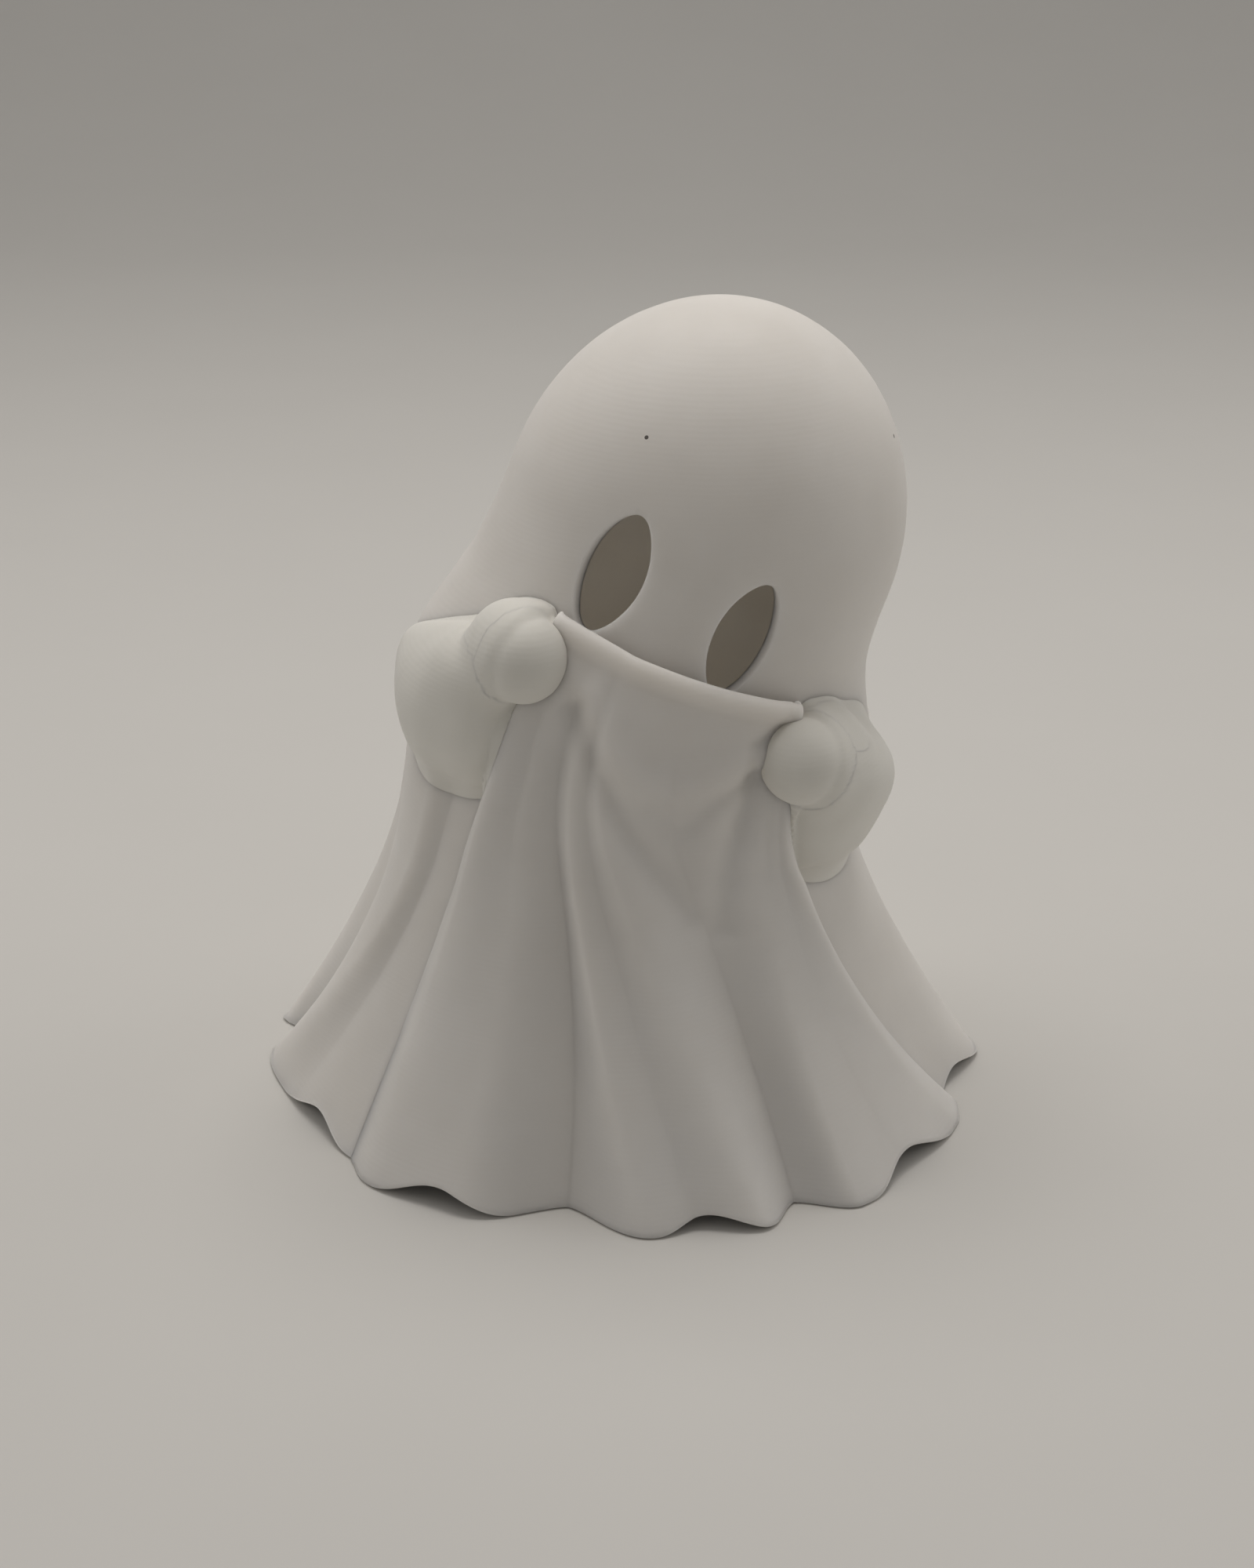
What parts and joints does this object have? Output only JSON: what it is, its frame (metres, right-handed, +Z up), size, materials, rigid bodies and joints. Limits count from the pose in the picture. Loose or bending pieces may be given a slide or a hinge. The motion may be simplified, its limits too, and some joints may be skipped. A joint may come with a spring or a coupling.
{
  "type": "sheet ghost figurine",
  "caption": "Hollow tabletop sheet ghost that leans to one side and lifts the front of its sheet to its face with both covered hands; two oval eye holes.",
  "frame": {"origin": "on the floor, in the middle of the hem's outline", "axes": "+Z up, -Y is the front (the side of the face and the hands), +X is the side towards which the head leans"},
  "size_m": [0.0938, 0.0906, 0.1019],
  "materials": {
    "figure": "matte"
  },
  "bodies": {
    "root": {"robe_shell": "figure", "front_cloth": "figure", "left_sleeve": "figure", "right_sleeve": "figure", "left_hand": "figure", "right_hand": "figure", "left_thumb": "figure", "right_thumb": "figure"}
  },
  "joints": []
}
